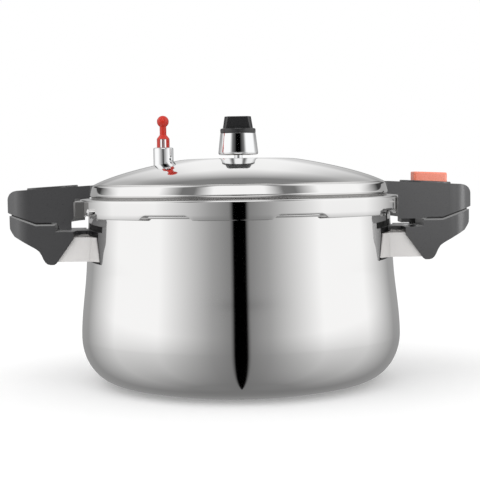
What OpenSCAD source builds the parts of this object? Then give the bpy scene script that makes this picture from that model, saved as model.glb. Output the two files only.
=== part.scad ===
// Stovetop pressure canner with an eight-lug bayonet lid.
// Millimetres, +Z up. The origin is the centre of the base, on the cooktop.
// X runs through the two side handles; the red lock button is on +X.

/* [Pot] */
// Height of the pot rim above the cooktop
pot_h = 135.8; // [125:0.1:200]
// Outer radius of the neck, just under the rim
neck_r = 121.3; // [115:0.1:125]
// How far the belly stands out from the neck where it is widest
belly_out = 7.2; // [4:0.1:10]
// Height at which the belly is widest
belly_z = 37.5; // [30:0.5:50]
// Height at which the belly has blended into the neck
shoulder_z = 93; // [80:1:100]
// Inward lean of the neck, mm per mm of height
neck_lean = 0.0575; // [0:0.0005:0.08]
// Width of the rounded corner between wall and base
corner_w = 28.5; // [20:0.5:34]
// Thickness of the pot wall
wall = 1.2; // [0.8:0.1:2]
// Thickness of the pot floor
floor_t = 1.5; // [1:0.1:3]

/* [Base] */
// How far the flat foot ends inside the start of the rounded corner
foot_in = 3; // [2:0.5:12]
// Height of the step round the foot
foot_step = 1.5; // [1:0.1:3]
// Thickness of the aluminium heat spreader
core_t = 4.95; // [3:0.05:7]
// Thickness of the steel cap over the spreader
cap_t = 0.8; // [0.5:0.1:1.5]

/* [Bayonet] */
// Number of bayonet lugs on the rim, and of tabs on the lid
lug_count = 8; // [6:1:9]
// Angle that a rim lug covers, degrees
rim_lug_angle = 16; // [10:1:17]
// Angle that a lid tab covers, degrees
lid_tab_angle = 25; // [20:1:26]
// How far the rim lugs reach past the rim flange
lug_reach = 2.6; // [2:0.1:3]
// How far the rolled rim flange stands out from the neck
rim_flange = 2.7; // [2:0.1:3]
// Thickness of the rim flange and its lugs
lug_t = 1.2; // [0.8:0.1:2]
// Clearance between lugs and tabs, all round
bayonet_gap = 0.4; // [0.3:0.05:0.8]
// Height of the notches between the lid tabs
notch_rise = 3.2; // [3:0.1:5]
// Angle between the lug pattern and the handles, degrees
pattern_turn = -2.15; // [-10:0.05:10]

/* [Lid] */
// Thickness of the lid sheet
lid_t = 1.2; // [0.8:0.1:1.6]
// Height of the lid skirt, from the tabs to the ledge
skirt_h = 13.1; // [12:0.1:18]
// Fall of the ledge from the bead to the skirt
ledge_fall = 1.2; // [0.5:0.1:3]
// How far the bead at its fullest lies inside the neck
bead_in = 1.7; // [0.5:0.1:4]
// Height of the bead between its two creases
bead_h = 9.5; // [7:0.5:14]
// Height of the crown above the bead
dome_h = 20.1; // [14:0.1:30]
// Radius of the flat crown
crown_r = 38; // [32:1:42]

/* [Handles] */
// Length of a handle, from the lid skirt to its outer end
handle_l = 55.8; // [48:0.1:70]
// Width of a handle at the pot
handle_w = 80; // [70:1:88]
// Width of a handle where its end corners start
handle_end_w = 74; // [66:1:84]
// Radius of the end corners, seen from above
handle_corner = 20; // [12:1:28]
// Gap between the lid handle and the pot handle
handle_gap = 2.6; // [2:0.1:4]
// Height of the lid handle above the bead crease, at the lid
handle_crest = 1; // [0:0.1:3]
// Depth of the ring channel in the pot handle
channel_depth = 4.9; // [4.5:0.1:7]
// Distance from the lid skirt to the outer wall of the ring channel
channel_out = 20; // [19.8:0.1:24]
// Height of the raised pad on a lid handle
pad_h = 1.4; // [0.8:0.1:2.5]

/* [Strap brackets] */
// Height of the steel strap
strap_h = 19; // [15:0.5:24]
// Width of the strap over its two arms
strap_w = 72; // [60:1:76]
// Thickness of the strap
strap_t = 1.5; // [1:0.1:2.5]
// Distance from the lid skirt to the outer face of the strap
strap_out = 19.6; // [17:0.1:19.8]

/* [Lock button] */
// Length of the red button
button_l = 27; // [22:0.5:32]
// Width of the red button
button_w = 18; // [14:0.5:22]
// Distance from the lid skirt to the middle of the button
button_out = 25.8; // [24:0.1:30]
// Height of the button above its bezel
button_h = 7.4; // [6:0.1:10]
// Travel of the button
button_travel = 5; // [3:0.5:5.5]
// Diameter of the lock pin under the button
lock_pin_d = 5; // [4.4:0.1:5.4]

/* [Regulator weight] */
// Radius of the weight at its lower edge
weight_r = 16.1; // [14:0.1:20]
// Radius of the weight under its knob
weight_top_r = 14.4; // [12:0.1:18]
// Height of the chromed skirt of the weight
weight_h = 16.7; // [14:0.1:22]
// Height of the knob's grip
grip_h = 9.5; // [7:0.5:14]
// Gap between the crown and the weight
weight_stand = 3.9; // [2:0.1:8]
// Diameter of the vent pipe
vent_d = 6.6; // [5:0.1:8]

/* [Float valve] */
// Distance from the axis to the float valve
float_x = 60.6; // [50:0.1:75]
// Radius of the float housing
housing_r = 8.1; // [7.5:0.1:10]
// Height of the housing's top above the crown
housing_h = 10.6; // [8:0.1:14]
// Length of the housing's stem, down from the crown
stem_l = 12.4; // [11:0.1:14]
// Radius of the red bell
bell_r = 5.15; // [4.5:0.05:5.5]
// Height of the bell above its housing
bell_rise = 7.4; // [6:0.1:9]
// Radius of the red ball
ball_r = 4.8; // [4:0.1:6]
// Height of the ball's centre above the bell
ball_rise = 13.5; // [11:0.1:16]
// Travel of the float
float_travel = 5; // [3:0.5:6]
// Radius of the float pin
float_pin_r = 1.1; // [0.8:0.1:1.3]

/* [Fits] */
// Running clearance between moving pieces
run_gap = 0.3; // [0.2:0.05:0.5]
// Clearance between fixed pieces that are assembled
fit_gap = 0.3; // [0.2:0.05:0.5]

/* [Hidden] */
$fn = 96;

steel = "silver";
chrome = "gainsboro";
bakelite = "#2b2b2d";
red = "#d8402c";
rubber = "#8d8f92";
eps = 0.01;

// ---- heights, from the cooktop up ----
floor_z = cap_t + core_t;
corner_h = belly_z - foot_step;
rim_under = pot_h - lug_t;
tab_top = rim_under - bayonet_gap;
tab_lift = 0.2;
skirt_bottom = tab_top - lid_t - tab_lift;
ledge_z = skirt_bottom + skirt_h;
groove_z = ledge_z + ledge_fall + 0.4;
crease_z = groove_z + bead_h;
crown_z = crease_z + dome_h;

// ---- radii ----
belly_r = neck_r + belly_out;
foot_r = belly_r - corner_w - foot_in;
bead_r = neck_r - bead_in;
rim_r = neck_r + rim_flange;
lug_r = rim_r + lug_reach;
skirt_in_r = lug_r + bayonet_gap;
skirt_r = skirt_in_r + lid_t;
tab_in_r = rim_r + bayonet_gap;
channel_r = skirt_r + channel_out;
strap_reach = skirt_r + strap_out;
handle_reach = skirt_r + handle_l;

// ---- handles ----
handle_under = skirt_bottom - 3;
pot_handle_top = handle_under - handle_gap;
channel_z = pot_handle_top - channel_depth;
lid_lug_z = channel_z + 1.6;
ramp_r = channel_r + 15;
ramp_rise = 7.5;
strap_top = channel_z - 4.5;
strap_z = strap_top - strap_h;
handle_top_in = crease_z + handle_crest;
handle_slope = 0.056;
handle_in = bead_r + 0.4;
arm_y = strap_w / 2;
bracket_t = 1.2;
prong_y = 18;
prong_w = 10;
prong_reach = skirt_r + 21.8;
prong_z = skirt_bottom + 8.2;
handle_screw_x = skirt_r + 14.8;
pad_x0 = skirt_r + 2.8;
pad_x1 = handle_reach - 13;
pad_half_w = 17;
pad_seat = 1;

// ---- lock button ----
button_x = skirt_r + button_out;
pin_x = button_x - button_l / 2;
well_z = channel_z + 14;
pin_tip = channel_z + 0.6;
spring_wire = 1.1;
spring_r = lock_pin_d / 2 + 0.4 + spring_wire / 2;
spring_turns = 4;
spring_top = well_z + spring_turns * spring_wire + button_travel + 1;
spring_collar_r = spring_r + 1.4;
flange_out = 1.5;
flange_t = 2;
socket_w = lock_pin_d + 2.7;
catch_l = 14;
catch_w = 18;
catch_z = strap_top + fit_gap;
snug = 0.05;

// ---- regulator weight ----
weight_z = crown_z + weight_stand;
weight_top = weight_z + weight_h;
collar_h = 3.9;
vent_r = vent_d / 2;
vent_tip = weight_z + 11.7;
tip_h = 3;
stud_r = 2.4;

// ---- float valve ----
housing_top = crown_z + housing_h;
bore_z = housing_top - 4.3;
stem_z = crown_z - stem_l;
stem_r = 5;
float_nut_h = 4;
bell_top = housing_top + bell_rise;
ball_z = bell_top + ball_rise;
float_pin_top = bell_top + 2.5;
seal_t = 1.6;
seal_top = stem_z - float_travel - run_gap;

// Radius of the pot's outer wall at height z.
function hermite(a, b, slope_b, s) =
    a + (b - a) * (3 * s * s - 2 * s * s * s) + slope_b * (s * s * s - s * s);
shoulder_r = neck_r + neck_lean * (rim_under - shoulder_z);
function wall_r(z) = z >= shoulder_z
    ? neck_r + neck_lean * (rim_under - z)
    : hermite(belly_r, shoulder_r, -neck_lean * (shoulder_z - belly_z),
        (z - belly_z) / (shoulder_z - belly_z));

// Points of the elliptical bottom corner, grown inward by t, from radius angle a0 to a1.
function corner_pt(t, rise, a) = [
    belly_r - corner_w + (corner_w - t) * sin(a),
    belly_z - (belly_z - rise) * cos(a)];
corner_a = acos((belly_z - floor_z) / corner_h);
corner_steps = 12;
belly_steps = 8;

function corner_out(a0, a1) =
    [for (i = [0 : corner_steps]) corner_pt(0, foot_step, a0 + (a1 - a0) * i / corner_steps)];
function corner_in() =
    [for (i = [0 : corner_steps]) corner_pt(wall, floor_z + floor_t, 90 * i / corner_steps)];
function belly(t) = [for (i = [1 : belly_steps])
    let (z = belly_z + (shoulder_z - belly_z) * i / belly_steps) [wall_r(z) - t, z]];
function flip(v) = [for (i = [len(v) - 1 : -1 : 0]) v[i]];

// Solid inside the pot's outer skin, used to seat what is welded to the wall.
module pot_outline(grow) {
    rotate_extrude()
        polygon(concat(
            [[0, belly_z]], [[wall_r(belly_z) + grow, belly_z]],
            [for (p = belly(0)) [p[0] + grow, p[1]]],
            [[neck_r + grow, rim_under], [0, rim_under]]));
}

module pot_body() {
    roll = 0.9;
    color(steel) union() {
        rotate_extrude()
            polygon(concat(
                [[0, floor_z]], corner_out(corner_a, 90), belly(0),
                [[neck_r, rim_under - roll], [neck_r + 0.3, rim_under - 0.3],
                    [neck_r + roll, rim_under], [rim_r, rim_under], [rim_r, pot_h],
                    [neck_r - wall + roll, pot_h], [neck_r - wall + 0.3, pot_h - 0.3],
                    [neck_r - wall, pot_h - roll]],
                flip(belly(wall)), flip(corner_in()), [[0, floor_z + floor_t]]));
        for (i = [0 : lug_count - 1])
            rotate(pattern_turn + i * 360 / lug_count - rim_lug_angle / 2)
                rotate_extrude(angle = rim_lug_angle)
                    translate([rim_r - 0.5, rim_under])
                        square([lug_reach + 0.5, lug_t]);
    }
}

module base_core() {
    color("darkgray") translate([0, 0, cap_t])
        cylinder(r = foot_r + 0.5, h = core_t);
}

module base_cap() {
    core_r = foot_r + 0.5 + 0.2;
    color(steel) rotate_extrude()
        polygon(concat(
            [[0, 0], [foot_r, 0], [foot_r + 1.2, 0.8], [foot_r + 1.2, foot_step]],
            corner_out(0, corner_a),
            [[core_r, floor_z], [core_r, cap_t], [0, cap_t]]));
}

// ---- pieces on both sides: drawn on +X, mirrored for -X ----
module on_side(side) {
    mirror([side < 0 ? 1 : 0, 0, 0]) children();
}

// U-shaped steel strap, welded to the wall by two flanges.
module strap() {
    flange_y = arm_y - 16;
    color(chrome) difference() {
        union() {
            translate([neck_r - 12, -arm_y, strap_z])
                cube([strap_reach - neck_r + 12, strap_w, strap_h]);
        }
        translate([0, -arm_y + strap_t, strap_z - 1])
            cube([strap_reach - strap_t, strap_w - 2 * strap_t, strap_h + 2]);
        pot_outline(0);
        translate([strap_reach - strap_t - 1, 0, strap_z + strap_h / 2])
            rotate([0, 90, 0]) cylinder(d = 5.4, h = strap_t + 2);
    }
    color(chrome) for (s = [-1, 1])
        intersection() {
            difference() {
                pot_outline(strap_t);
                pot_outline(0);
            }
            translate([neck_r - 12, s > 0 ? flange_y : -arm_y + strap_t, strap_z])
                cube([30, 16 - strap_t, strap_h]);
        }
}

// Pan-head screw that holds the pot handle to the strap, from inside the strap.
module strap_screw() {
    color(steel) translate([0, 0, strap_z + strap_h / 2]) rotate([0, 90, 0]) {
        difference() {
            translate([0, 0, strap_reach - strap_t - 3]) cylinder(d = 9, h = 3);
            translate([-0.6, -5, strap_reach - strap_t - 3 - eps]) cube([1.2, 10, 1.4]);
        }
        translate([0, 0, strap_reach - strap_t]) cylinder(d = 5, h = 9);
    }
}

// Outline of a handle from above, from x0 out to the handle's end.
module handle_plan(x0, inset) {
    r = handle_corner;
    x1 = handle_reach - inset;
    w0 = handle_w / 2 - inset;
    w1 = handle_end_w / 2 - inset;
    arc = [for (a = [0 : 10 : 90]) [x1 - r + r * sin(a), w1 - r + r * cos(a)]];
    crown = [for (i = [-3 : 3]) [x1 + 1.6 * (1 - pow(i / 4, 2)) - 0.7, -i * (w1 - r) / 4]];
    polygon(concat([[x0, -w0], [x0, w0]], arc, crown,
        flip([for (p = arc) [p[0], -p[1]]])));
}

// Side profile, given as x-z points, swept across the handle.
module handle_side(points) {
    rotate([90, 0, 0])
        linear_extrude(height = handle_w + 10, center = true)
            polygon(points);
}

// Everything under the surface of revolution that parts the two handles.
module parting(z0) {
    rotate_extrude()
        polygon([[channel_r, -1], [channel_r, z0], [ramp_r, z0],
            [ramp_r + 40, z0 + ramp_rise * 2], [ramp_r + 40, -1]]);
}

// Block centred on the lock pin, from z0 up to z1.
module at_pin(l, w, z0, z1) {
    translate([pin_x - l / 2, -w / 2, z0]) cube([l, w, z1 - z0]);
}

// Steel plate pressed into the floor of the ring channel; the lock pin drops into its hole.
module lock_catch() {
    color(steel) difference() {
        at_pin(catch_l, catch_w, catch_z, channel_z);
        at_pin(socket_w, socket_w, catch_z - 1, channel_z + 1);
    }
}

module pot_handle(side) {
    tip_z = strap_z - 2.2;
    inner_x = skirt_r + 1.3;
    x0 = strap_reach;
    x1 = handle_reach;
    heel_half_w = 18;
    pocket_l = strap_reach + 0.1 - inner_x + 12;
    difference() {
        union() {
            intersection() {
                translate([0, 0, tip_z - 1])
                    linear_extrude(height = handle_l) handle_plan(inner_x, 1);
                handle_side([
                    [inner_x, strap_top - 1], [inner_x, channel_z + 30],
                    [x1 + 16, channel_z + 30], [x1 + 16, strap_top - 1],
                    [x1 - 1.5, strap_top + 11.5], [x1 - 3, strap_top + 6],
                    [x1 - 5.2, strap_top + 2.6], [x1 - 8, strap_top + 0.6],
                    [x0 + 11.6, strap_z + 10.4], [x0 + 8.8, strap_z + 8.2],
                    [x0 + 7, strap_z + 5.2], [x0 + 5.6, strap_z + 2],
                    [x0 + 4.2, strap_z - 0.2], [x0 + 2.2, strap_z - 1.7],
                    [x0 + 0.2, tip_z], [x0 - 2.8, tip_z], [x0 - 4.4, strap_z - 1.2]]);
                union() {
                    parting(pot_handle_top);
                    cylinder(r = channel_r + eps, h = channel_z);
                }
            }
            // Heel that rests against the pot wall
            translate([neck_r - 5, -heel_half_w, channel_z - 3])
                cube([inner_x - neck_r + 6, heel_half_w * 2, 3]);
        }
        pot_outline(fit_gap);
        // Pocket that takes the strap
        translate([inner_x - 12, -arm_y - 0.15, tip_z - 2])
            cube([pocket_l, strap_w + 0.3, catch_z - tip_z + 2]);
        translate([strap_reach - 1, 0, strap_z + strap_h / 2])
            rotate([0, 90, 0]) cylinder(d = 5.2, h = 10.5);
        // Window that takes the catch of the lock pin
        if (side > 0) at_pin(catch_l + 2 * snug, catch_w + 2 * snug, catch_z - 1, channel_z + 1);
    }
}

// ---- lid ----
dome_steps = 14;
edge_r = crown_r + 12;
slope_in = 0.18;
slope_out = 0.34;
dome_end = bead_r - 2.4;
function dome_z(r) = r <= crown_r ? crown_z
    : r <= edge_r ? crown_z - slope_in * pow(r - crown_r, 2) / (2 * (edge_r - crown_r))
    : crown_z - slope_in * (edge_r - crown_r) / 2 - slope_in * (r - edge_r)
        - (slope_out - slope_in) * pow(r - edge_r, 2) / (2 * (dome_end - edge_r));
function dome(t) = concat(
    [[0, crown_z - t]],
    [for (i = [0 : 4]) let (r = crown_r + (edge_r - crown_r) * i / 4) [r, dome_z(r) - t]],
    [for (i = [1 : dome_steps])
        let (r = edge_r + (dome_end - edge_r) * i / dome_steps) [r, dome_z(r) - t]]);
function bead_out() = concat(
    [[bead_r - 2.7, crease_z + 0.3], [bead_r - 2.9, crease_z]],
    [for (i = [0 : 8]) let (a = 70 - 140 * i / 8)
        [bead_r - 1.6 + 1.6 * pow(cos(a), 0.6), crease_z - bead_h / 2 + bead_h * 0.5 * sin(a) / sin(70)]],
    [[bead_r - 0.9, groove_z - 0.3]]);
function skirt_out() = [
    [skirt_r - 1.6, ledge_z], [skirt_r - 0.8, ledge_z - 0.35],
    [skirt_r - 0.25, ledge_z - 0.9], [skirt_r, ledge_z - 1.7], [skirt_r, skirt_bottom]];
function lid_in() = concat(
    [[skirt_in_r, skirt_bottom], [skirt_in_r, ledge_z - 2.2],
        [skirt_in_r - 0.6, ledge_z - lid_t - 0.2],
        [bead_r - 1.4, groove_z - lid_t - 0.6], [bead_r - lid_t - 0.9, groove_z - 0.6],
        [bead_r - lid_t, groove_z + 1.5], [bead_r - lid_t, crease_z - 1.8],
        [bead_r - lid_t - 2.6, crease_z - 0.6]],
    flip(dome(lid_t)));

// Solid below the inner face of the dome, or below its outer face.
module dome_solid(t) {
    rotate_extrude()
        polygon(concat([[0, crease_z]], [[dome_end - 3, crease_z]],
            flip([for (p = dome(t)) if (p[0] <= dome_end - 3) p])));
}

// Notch between two tabs, seen from outside, with S-curved ends that start below the skirt.
module notch() {
    half = (360 / lug_count - lid_tab_angle) / 2;
    w = skirt_r * sin(half) + 1;
    run = 7;
    start = 0.4;
    s_curve = [for (i = [0 : 6])
        [w - run * i / 6, (notch_rise + start) * (0.5 - 0.5 * cos(180 * i / 6)) - start]];
    translate([skirt_in_r * cos(half) - 6, 0, skirt_bottom])
        rotate([90, 0, 90])
            linear_extrude(height = 20)
                polygon(concat([[w + 0.5, -1]], s_curve,
                    flip([for (p = s_curve) [-p[0], p[1]]]), [[-w - 0.5, -1]]));
}

module lid_shell() {
    half_pitch = 180 / lug_count;
    color(steel) difference() {
        union() {
            rotate_extrude()
                polygon(concat(dome(0), bead_out(), skirt_out(), lid_in()));
            // Tabs turned in under the rim lugs
            for (i = [0 : lug_count - 1])
                rotate(pattern_turn + i * 360 / lug_count - lid_tab_angle / 2)
                    rotate_extrude(angle = lid_tab_angle)
                        translate([tab_in_r, tab_top - lid_t])
                            square([skirt_r - tab_in_r - lid_t / 2, lid_t]);
        }
        for (i = [0 : lug_count - 1])
            rotate(pattern_turn + half_pitch + i * 360 / lug_count) notch();
        translate([0, 0, crown_z - 10]) cylinder(r = vent_r + fit_gap, h = 20);
        translate([-float_x, 0, crease_z]) cylinder(r = stem_r + fit_gap, h = 2 * dome_h);
        stud_place() translate([0, 0, -10]) cylinder(r = stud_shank_r, h = 20);
    }
}

// Lip seal with a C-shaped section that opens toward the steam.
module sealing_ring() {
    top = ledge_z - lid_t - 0.4;
    bottom = pot_h + run_gap;
    back = skirt_in_r - fit_gap;
    color(rubber) rotate_extrude()
        polygon([[back, bottom], [back, top - 0.6], [back - 0.6, top],
            [bead_r - 0.6, top], [bead_r - 1.2, top - 1.2],
            [back - 3.4, top - 2.2], [back - 3.4, bottom + 2.2],
            [bead_r - 1, bottom + 1.4], [bead_r - 0.6, bottom]]);
}

// Dome-headed stud in the skirt that stops the lid.
stud_angle = -151;
stud_z = skirt_bottom + 5;
stud_shank_r = 1.5;
module stud_place() {
    rotate(stud_angle) translate([skirt_r, 0, stud_z]) rotate([0, 90, 0]) children();
}
module stop_stud() {
    cap_sphere = 4;
    cap_h = 1.3;
    color(steel) stud_place() {
        difference() {
            translate([0, 0, cap_h - cap_sphere]) sphere(r = cap_sphere);
            translate([0, 0, -20]) cylinder(r = 10, h = 20.15);
        }
        translate([0, 0, -lid_t]) cylinder(r = stud_shank_r - 0.02, h = lid_t + 0.5);
    }
}

// Steel angle welded to the skirt; its two prongs enter the lid handle.
module lid_bracket() {
    flange_half = prong_y + prong_w / 2;
    color(chrome) difference() {
        union() {
            intersection() {
                rotate_extrude() translate([skirt_r, prong_z - 3])
                    square([bracket_t, ledge_z - 2 - prong_z + 3]);
                translate([skirt_r - 12, -flange_half, 0]) cube([30, 2 * flange_half, crown_z]);
            }
            for (s = [-1, 1])
                translate([skirt_r - 8, s * prong_y - prong_w / 2, prong_z])
                    cube([prong_reach - skirt_r + 8, prong_w, bracket_t]);
        }
        cylinder(r = skirt_r, h = crown_z);
        for (s = [-1, 1])
            translate([handle_screw_x, s * prong_y, prong_z - 1])
                cylinder(d = 5, h = bracket_t + 2);
    }
}

module handle_screws() {
    head_z = handle_under + 1.5;
    color(steel) for (s = [-1, 1])
        translate([handle_screw_x, s * prong_y, head_z]) {
            difference() {
                cylinder(d = 8.6, h = 2.6);
                translate([-5, -0.6, -eps]) cube([10, 1.2, 1.2]);
            }
            translate([0, 0, 2.6]) cylinder(d = 4.8, h = prong_z + bracket_t + 1.2 - head_z - 2.6);
        }
}

function handle_top(x) = handle_top_in - handle_slope * (x - handle_in);

// Outline of the raised pad from above.
module pad_plan(grow) {
    r = pad_half_w - 3;
    for (x = [pad_x0 + r, pad_x1 - r])
        for (s = [-1, 1])
            translate([x, s * (pad_half_w - r)]) circle(r = r + grow);
    translate([pad_x0 + r, -pad_half_w - grow])
        square([pad_x1 - pad_x0 - 2 * r, 2 * (pad_half_w + grow)]);
    translate([pad_x0 - grow, -pad_half_w + r])
        square([pad_x1 - pad_x0 + 2 * grow, 2 * (pad_half_w - r)]);
}

// Slab between two heights over the sloping top of the handle.
module pad_slab(low, high) {
    handle_side([
        [pad_x0 - 6, handle_top(pad_x0 - 6) + low], [pad_x1 + 6, handle_top(pad_x1 + 6) + low],
        [pad_x1 + 6, handle_top(pad_x1 + 6) + high], [pad_x0 - 6, handle_top(pad_x0 - 6) + high]]);
}

module pad() {
    intersection() {
        translate([0, 0, handle_under]) linear_extrude(height = handle_l) pad_plan(0);
        pad_slab(-pad_seat, pad_h);
    }
}

module lid_handle(side) {
    x1 = handle_reach;
    over_z = ledge_z + ledge_fall + 0.8;
    seat_r = skirt_r + bracket_t + fit_gap;
    lug_in = skirt_r - 1.2;
    lug_out = channel_r - 1.5;
    difference() {
        union() {
            intersection() {
                translate([0, 0, handle_under - 10])
                    linear_extrude(height = handle_l) handle_plan(handle_in - 8, 0);
                handle_side([
                    [handle_in - 8, over_z - 2], [handle_in - 8, handle_top(handle_in - 8)],
                    [x1 - 9.5, handle_top(x1 - 9.5)], [x1 - 6, handle_top(x1 - 6) - 0.6],
                    [x1 - 3, handle_top(x1 - 3) - 2.2], [x1 - 0.8, handle_top(x1 - 1) - 4.8],
                    [x1 + 0.6, handle_top(x1) - 9], [x1 + 2, handle_top(x1) - 14],
                    [x1 + 2, handle_under - 1], [handle_in - 8, handle_under - 1]]);
            }
            if (side < 0)
                intersection() {
                    translate([0, 0, lid_lug_z])
                        linear_extrude(height = 12) handle_plan(lug_in, 1);
                    cylinder(r1 = lug_out - 1.5, r2 = lug_out + 0.4, h = handle_under + 2);
                }
            // Stop block beside the lock pin
            if (side > 0)
                translate([seat_r, -11, channel_z + 2.4])
                    cube([pin_x - lock_pin_d / 2 - 0.4 - seat_r, 22, handle_under - channel_z]);
        }
        // Parting surface with the pot handle, and the side toward the lid
        difference() {
            translate([0, 0, -handle_gap]) parting(handle_under + handle_gap);
            cylinder(r = channel_r, h = crown_z);
        }
        difference() {
            cylinder(r = channel_r + 1, h = handle_under);
            translate([0, 0, -1]) cylinder(r = lug_out + 0.3, h = handle_under + 1);
        }
        cylinder(r = seat_r, h = over_z);
        translate([0, 0, over_z - eps])
            cylinder(r1 = handle_in + 5, r2 = handle_in + 1.3, h = crown_z - over_z);
        // Pockets for the bracket prongs, bores and counterbores for the screws
        for (s = [-1, 1]) {
            translate([seat_r - 4, s * prong_y - prong_w / 2 - fit_gap, prong_z - fit_gap])
                cube([prong_reach + fit_gap - seat_r + 4, prong_w + 2 * fit_gap,
                    bracket_t + 2 * fit_gap]);
            translate([handle_screw_x, s * prong_y, handle_under - 20])
                cylinder(d = 9.2, h = 20 + 4.1);
            translate([handle_screw_x, s * prong_y, handle_under])
                cylinder(d = 5.4, h = prong_z + bracket_t + 1.8 - handle_under);
        }
        // Seat of the raised pad
        intersection() {
            translate([0, 0, handle_under]) linear_extrude(height = handle_l) pad_plan(0.1);
            pad_slab(-pad_seat, 10);
        }
        if (side > 0) {
            // Well of the red button and guide bore of the lock pin
            flange_block(run_gap, well_z, well_z + 40);
            translate([pin_x, 0, channel_z])
                cylinder(d = lock_pin_d + 2 * run_gap, h = 40);
        }
    }
}

// ---- lock button ----
module button_block(grow, z0, z1) {
    l = button_l + 2 * grow;
    w = button_w + 2 * grow;
    r = 1.5;
    translate([button_x, 0, z0]) {
        linear_extrude(height = z1 - z0) {
            square([l - 2 * r, w], center = true);
            square([l, w - 2 * r], center = true);
            for (x = [-1, 1], y = [-1, 1])
                translate([x * (l / 2 - r), y * (w / 2 - r)]) circle(r = r);
        }
    }
}

// Block as wide as the button's flange, which also covers the lock pin.
module flange_block(grow, z0, z1) {
    x0 = pin_x - spring_collar_r - grow;
    x1 = button_x + button_l / 2 + flange_out + grow;
    half_w = button_w / 2 + flange_out + grow;
    translate([x0, -half_w, z0]) cube([x1 - x0, 2 * half_w, z1 - z0]);
}

button_flange_z = handle_top(button_x) - pad_seat - 2.4 - flange_t;
button_top = handle_top(button_x) + pad_h + button_h;

module red_button() {
    color(red) difference() {
        union() {
            button_block(0, button_flange_z, button_top);
            flange_block(0, button_flange_z, button_flange_z + flange_t);
            translate([pin_x, 0, spring_top])
                cylinder(r = spring_collar_r - 0.2, h = button_flange_z - spring_top + 1);
        }
        translate([pin_x, 0, spring_top - 1]) cylinder(d = lock_pin_d, h = 7);
    }
}

module lock_pin() {
    color("dimgray") translate([pin_x, 0, pin_tip]) {
        cylinder(d1 = lock_pin_d - 1.2, d2 = lock_pin_d, h = 1);
        translate([0, 0, 1]) cylinder(d = lock_pin_d, h = spring_top + 6 - pin_tip - 1);
    }
}

// Return spring round the lock pin, drawn as a stack of closed turns.
module button_spring() {
    pitch = (spring_top - well_z - spring_wire) / (spring_turns - 1);
    color("silver") for (i = [0 : spring_turns - 1])
        translate([pin_x, 0, well_z + spring_wire / 2 + i * pitch])
            rotate_extrude() translate([spring_r, 0]) circle(d = spring_wire, $fn = 24);
}

module button_bezel() {
    color(bakelite) difference() {
        union() {
            pad();
            // Skirt that drops into the well
            flange_block(0, handle_top(button_x) - pad_seat - 2.1,
                handle_top(button_x) - 0.2);
        }
        button_block(run_gap, handle_under, crown_z);
    }
}

module left_handle_inlay() {
    color(bakelite) on_side(-1) pad();
}

// ---- vent pipe and regulator weight ----
module vent_pipe() {
    color(steel) difference() {
        union() {
            translate([0, 0, crown_z - 10]) cylinder(r = vent_r, h = vent_tip - tip_h - crown_z + 10);
            translate([0, 0, vent_tip - tip_h]) cylinder(r1 = vent_r, r2 = vent_r - 1.5, h = tip_h);
            translate([0, 0, crown_z]) cylinder(r = vent_r + 2.8, h = 0.6);
        }
        translate([0, 0, crown_z - 12]) cylinder(r = 1.2, h = 60);
    }
}

module vent_nut() {
    color(steel) translate([0, 0, crown_z - lid_t - 4]) difference() {
        cylinder(r = vent_r + 4.2, h = 4, $fn = 6);
        translate([0, 0, -1]) cylinder(r = vent_r + 0.05, h = 6);
    }
}

module weight_shell() {
    t = 1;
    color(chrome) rotate_extrude()
        polygon([[stud_r + 0.2, weight_top], [weight_top_r, weight_top],
            [weight_r, weight_z + 2], [weight_r - 0.15, weight_z + 1.2],
            [weight_r - 0.7, weight_z + 0.4], [weight_r - 1.6, weight_z],
            [weight_r - 2.1, weight_z + 0.5], [weight_r - t - 0.2, weight_z + 2.2],
            [weight_top_r - t, weight_top - t], [stud_r + 0.2, weight_top - t]]);
}

module weight_core() {
    t = 1;
    seat = vent_tip - tip_h + run_gap;
    color("darkgoldenrod") difference() {
        translate([0, 0, weight_z + 2.7])
            cylinder(r = weight_top_r - t - 0.35, h = weight_h - 2.7 - t);
        translate([0, 0, weight_z]) cylinder(r = vent_r + run_gap, h = seat - weight_z + eps);
        translate([0, 0, seat]) cylinder(r1 = vent_r + run_gap, r2 = vent_r - 1.5 + run_gap, h = tip_h);
        for (a = [0 : 120 : 240])
            rotate(a) translate([0, 0, seat + 1]) rotate([0, 90, 0]) cylinder(r = 1, h = weight_r);
        translate([0, 0, weight_top - t - 2.6]) cylinder(r = stud_r, h = 5);
    }
}

module weight_stud() {
    color(steel) translate([0, 0, weight_top - 3.6]) cylinder(r = stud_r - 0.02, h = 12);
}

module weight_knob() {
    collar_r = weight_top_r - 0.1;
    flat_y = 7.5;
    color(bakelite) difference() {
        union() {
            rotate_extrude()
                polygon([[0, weight_top], [collar_r - 0.5, weight_top], [collar_r, weight_top + 0.6],
                    [collar_r, weight_top + collar_h - 0.7], [collar_r - 0.7, weight_top + collar_h],
                    [0, weight_top + collar_h]]);
            intersection() {
                translate([0, 0, weight_top + collar_h - 0.5])
                    cylinder(r1 = collar_r - 2, r2 = collar_r - 3.6, h = grip_h + 0.5);
                translate([-20, -flat_y, weight_top]) cube([40, 2 * flat_y, 30]);
            }
        }
        translate([0, 0, weight_top - 1]) cylinder(r = stud_r + 0.05, h = 10);
    }
}

// ---- float valve ----
module at_float() {
    translate([-float_x, 0, 0]) children();
}

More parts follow.
